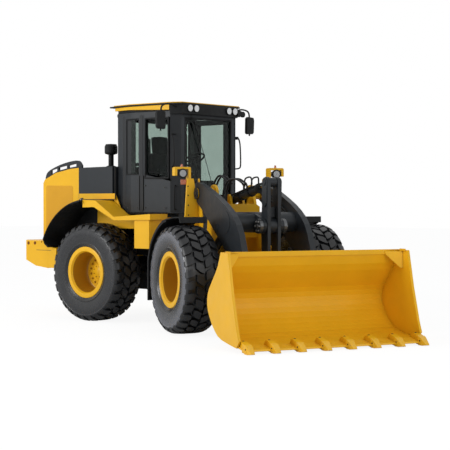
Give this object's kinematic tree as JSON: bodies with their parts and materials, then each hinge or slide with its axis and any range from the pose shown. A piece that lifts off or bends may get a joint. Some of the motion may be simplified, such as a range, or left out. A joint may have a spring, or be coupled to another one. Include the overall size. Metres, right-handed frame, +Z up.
{
  "type": "articulated wheel loader",
  "caption": "Articulated wheel loader: rear half with cab and hood, front half with boom, Z-bar linkage and toothed bucket, turned to its right.",
  "frame": {"origin": "centre of the bounding box at the ground", "axes": "+X forward along the rear half, +Y to the machine's left, +Z up; the front half is turned 25 degrees to the right about the centre pivot"},
  "size_m": [7.3622, 4.0988, 3.3747],
  "materials": {
    "yellow_paint": "glossy",
    "dark_paint": "satin",
    "black_plastic": "matte",
    "exhaust_metal": "satin",
    "bright_steel": "polished",
    "worn_steel": "satin",
    "glazing": "clear, lightly green",
    "seat_fabric": "woven",
    "tyre_rubber": "matte"
  },
  "bodies": {
    "rear": {"rear_frame": "dark_paint", "rear_axle": "dark_paint", "counterweight": "yellow_paint", "hood_rear": "yellow_paint", "hood_front": "dark_paint", "rear_grille": "black_plastic", "engine": "dark_paint", "precleaner": "black_plastic", "exhaust_stack": "exhaust_metal", "hood_rail_right": "dark_paint", "hood_rail_left": "dark_paint", "rear_fender_right": "black_plastic", "rear_fender_left": "black_plastic", "walkway_right": "yellow_paint", "walkway_left": "yellow_paint", "mirror_right": "black_plastic", "mirror_left": "black_plastic", "cab_frame": "dark_paint", "cab_roof": "yellow_paint", "windscreen": "glazing", "side_glass_right": "glazing", "rear_glass": "glazing", "seat": "seat_fabric", "steering_column": "black_plastic"},
    "door": {"door_left": "dark_paint", "door_glass": "glazing"},
    "front": {"front_frame": "yellow_paint", "front_axle": "dark_paint", "front_fender_right": "black_plastic", "front_fender_left": "black_plastic", "headlight_right": "yellow_paint", "headlight_left": "yellow_paint"},
    "boom": {"boom": "dark_paint"},
    "bucket_pins": {"bucket_pin_right": "bright_steel", "bucket_pin_left": "bright_steel"},
    "bucket": {"bucket": "yellow_paint", "cutting_edge": "worn_steel"},
    "bellcrank_pin": {"bellcrank_pin": "bright_steel"},
    "bellcrank": {"bellcrank": "dark_paint"},
    "link_pin": {"link_pin": "bright_steel"},
    "bucket_link": {"bucket_link": "dark_paint"},
    "tilt_barrel": {"tilt_barrel": "dark_paint"},
    "tilt_rod": {"tilt_rod": "bright_steel"},
    "wheel_rear_right": {"tyre_rear_right": "tyre_rubber", "rim_rear_right": "yellow_paint"},
    "wheel_front_right": {"tyre_front_right": "tyre_rubber", "rim_front_right": "yellow_paint"},
    "lift_barrel_right": {"lift_barrel_right": "dark_paint"},
    "lift_rod_right": {"lift_rod_right": "bright_steel"},
    "steer_barrel_right": {"steer_barrel_right": "dark_paint"},
    "steer_rod_right": {"steer_rod_right": "bright_steel"},
    "wheel_rear_left": {"tyre_rear_left": "tyre_rubber", "rim_rear_left": "yellow_paint"},
    "wheel_front_left": {"tyre_front_left": "tyre_rubber", "rim_front_left": "yellow_paint"},
    "lift_barrel_left": {"lift_barrel_left": "dark_paint"},
    "lift_rod_left": {"lift_rod_left": "bright_steel"},
    "steer_barrel_left": {"steer_barrel_left": "dark_paint"},
    "steer_rod_left": {"steer_rod_left": "bright_steel"}
  },
  "joints": [
    {"name": "steer", "type": "hinge", "parent": "rear", "child": "front", "pos_m": [-0.58107, 0.8244, 0.8777], "axis": [0, 0, 1], "range_deg": [-15, 65]},
    {"name": "wheel_rear_right_spin", "type": "hinge", "parent": "rear", "child": "wheel_rear_right", "pos_m": [-2.00607, -0.1406, 0.7427], "axis": [0, 1, 0], "continuous": true},
    {"name": "wheel_front_right_spin", "type": "hinge", "parent": "front", "child": "wheel_front_right", "pos_m": [0.3026, -0.65242, 0.7427], "axis": [0.4226, 0.9063, 0], "continuous": true},
    {"name": "wheel_rear_left_spin", "type": "hinge", "parent": "rear", "child": "wheel_rear_left", "pos_m": [-2.00607, 1.7894, 0.7427], "axis": [0, 1, 0], "continuous": true},
    {"name": "wheel_front_left_spin", "type": "hinge", "parent": "front", "child": "wheel_front_left", "pos_m": [1.11825, 1.09676, 0.7427], "axis": [0.4226, 0.9063, 0], "continuous": true},
    {"name": "door_swing", "type": "hinge", "parent": "rear", "child": "door", "pos_m": [-1.48007, 1.5764, 2.3477], "axis": [0, 0, 1], "range_deg": [0, 90]},
    {"name": "boom_lift", "type": "hinge", "parent": "front", "child": "boom", "pos_m": [0.21648, 0.4525, 1.9277], "axis": [-0.4226, -0.9063, 0], "range_deg": [0, 85]},
    {"name": "bucket_level", "type": "hinge", "parent": "boom", "child": "bucket_pins", "pos_m": [2.00191, -0.38006, 0.3577], "axis": [0.4226, 0.9063, 0], "range_deg": [-0.2, 85.2]},
    {"name": "bucket_tilt", "type": "hinge", "parent": "bucket_pins", "child": "bucket", "pos_m": [2.00191, -0.38006, 0.3577], "axis": [0.4226, 0.9063, 0], "range_deg": [-42, 46]},
    {"name": "bellcrank_carry", "type": "hinge", "parent": "boom", "child": "bellcrank_pin", "pos_m": [1.3539, -0.07789, 1.4777], "axis": [0.4226, 0.9063, 0], "range_deg": [-16.18, 0.2]},
    {"name": "bellcrank_turn", "type": "hinge", "parent": "bellcrank_pin", "child": "bellcrank", "pos_m": [1.3539, -0.07789, 1.4777], "axis": [0.4226, 0.9063, 0], "range_deg": [-8.5, 7.78]},
    {"name": "link_carry", "type": "hinge", "parent": "bucket", "child": "link_pin", "pos_m": [2.01097, -0.38429, 0.5877], "axis": [0.4226, 0.9063, 0], "range_deg": [-64.72, 0.2]},
    {"name": "link_turn", "type": "hinge", "parent": "link_pin", "child": "bucket_link", "pos_m": [2.01097, -0.38429, 0.5877], "axis": [0.4226, 0.9063, 0], "range_deg": [-35.91, 32.81]},
    {"name": "tilt_barrel_swing", "type": "hinge", "parent": "front", "child": "tilt_barrel", "pos_m": [0.29986, 0.41362, 1.8517], "axis": [-0.4226, -0.9063, 0], "range_deg": [-0.2, 86.59]},
    {"name": "tilt_rod_slide", "type": "slide", "parent": "tilt_barrel", "child": "tilt_rod", "axis": [0.8915, -0.4157, 0.1798], "range_m": [-0.08676, 0.07939]},
    {"name": "lift_barrel_right_swing", "type": "hinge", "parent": "front", "child": "lift_barrel_right", "pos_m": [-0.18609, 0.20439, 0.7177], "axis": [-0.4226, -0.9063, 0], "range_deg": [-0.2, 27.66]},
    {"name": "lift_rod_right_slide", "type": "slide", "parent": "lift_barrel_right", "child": "lift_rod_right", "axis": [0.7129, -0.3324, 0.6174], "range_m": [-0.002, 0.89355]},
    {"name": "lift_barrel_left_swing", "type": "hinge", "parent": "front", "child": "lift_barrel_left", "pos_m": [0.14778, 0.92037, 0.7177], "axis": [-0.4226, -0.9063, 0], "range_deg": [-0.2, 27.66]},
    {"name": "lift_rod_left_slide", "type": "slide", "parent": "lift_barrel_left", "child": "lift_rod_left", "axis": [0.7129, -0.3324, 0.6174], "range_m": [-0.002, 0.89355]},
    {"name": "steer_barrel_right_swing", "type": "hinge", "parent": "rear", "child": "steer_barrel_right", "pos_m": [-1.43107, 0.4244, 0.7977], "axis": [0, 0, 1], "range_deg": [-3.18, 13.09]},
    {"name": "steer_rod_right_slide", "type": "slide", "parent": "steer_barrel_right", "child": "steer_rod_right", "axis": [1, -0.0051, 0], "range_m": [-0.09019, 0.38414]},
    {"name": "steer_barrel_left_swing", "type": "hinge", "parent": "rear", "child": "steer_barrel_left", "pos_m": [-1.43107, 1.2244, 0.7977], "axis": [0, 0, 1], "range_deg": [-3.18, 13.12]},
    {"name": "steer_rod_left_slide", "type": "slide", "parent": "steer_barrel_left", "child": "steer_rod_left", "axis": [0.9859, -0.1675, 0], "range_m": [-0.38399, 0.09015]}
  ],
  "couplings": [
    {"joint": "bucket_level", "follows": "boom_lift", "ratio": 1},
    {"joint": "bellcrank_carry", "follows": "boom_lift", "ratio": -0.18796},
    {"joint": "bellcrank_turn", "follows": "bucket_tilt", "ratio": -0.18043},
    {"joint": "link_carry", "follows": "boom_lift", "ratio": -0.75907},
    {"joint": "link_turn", "follows": "bucket_tilt", "ratio": -0.77633},
    {"joint": "tilt_barrel_swing", "follows": "boom_lift", "ratio": 1.0164},
    {"joint": "tilt_rod_slide", "follows": "bucket_tilt", "m_per_rad": -0.10558},
    {"joint": "lift_barrel_right_swing", "follows": "boom_lift", "ratio": 0.32302},
    {"joint": "lift_rod_right_slide", "follows": "boom_lift", "m_per_rad": 0.60096},
    {"joint": "lift_barrel_left_swing", "follows": "boom_lift", "ratio": 0.32302},
    {"joint": "lift_rod_left_slide", "follows": "boom_lift", "m_per_rad": 0.60096},
    {"joint": "steer_barrel_right_swing", "follows": "steer", "ratio": 0.19837},
    {"joint": "steer_rod_right_slide", "follows": "steer", "m_per_rad": 0.33685},
    {"joint": "steer_barrel_left_swing", "follows": "steer", "ratio": 0.19872},
    {"joint": "steer_rod_left_slide", "follows": "steer", "m_per_rad": -0.33671}
  ]
}
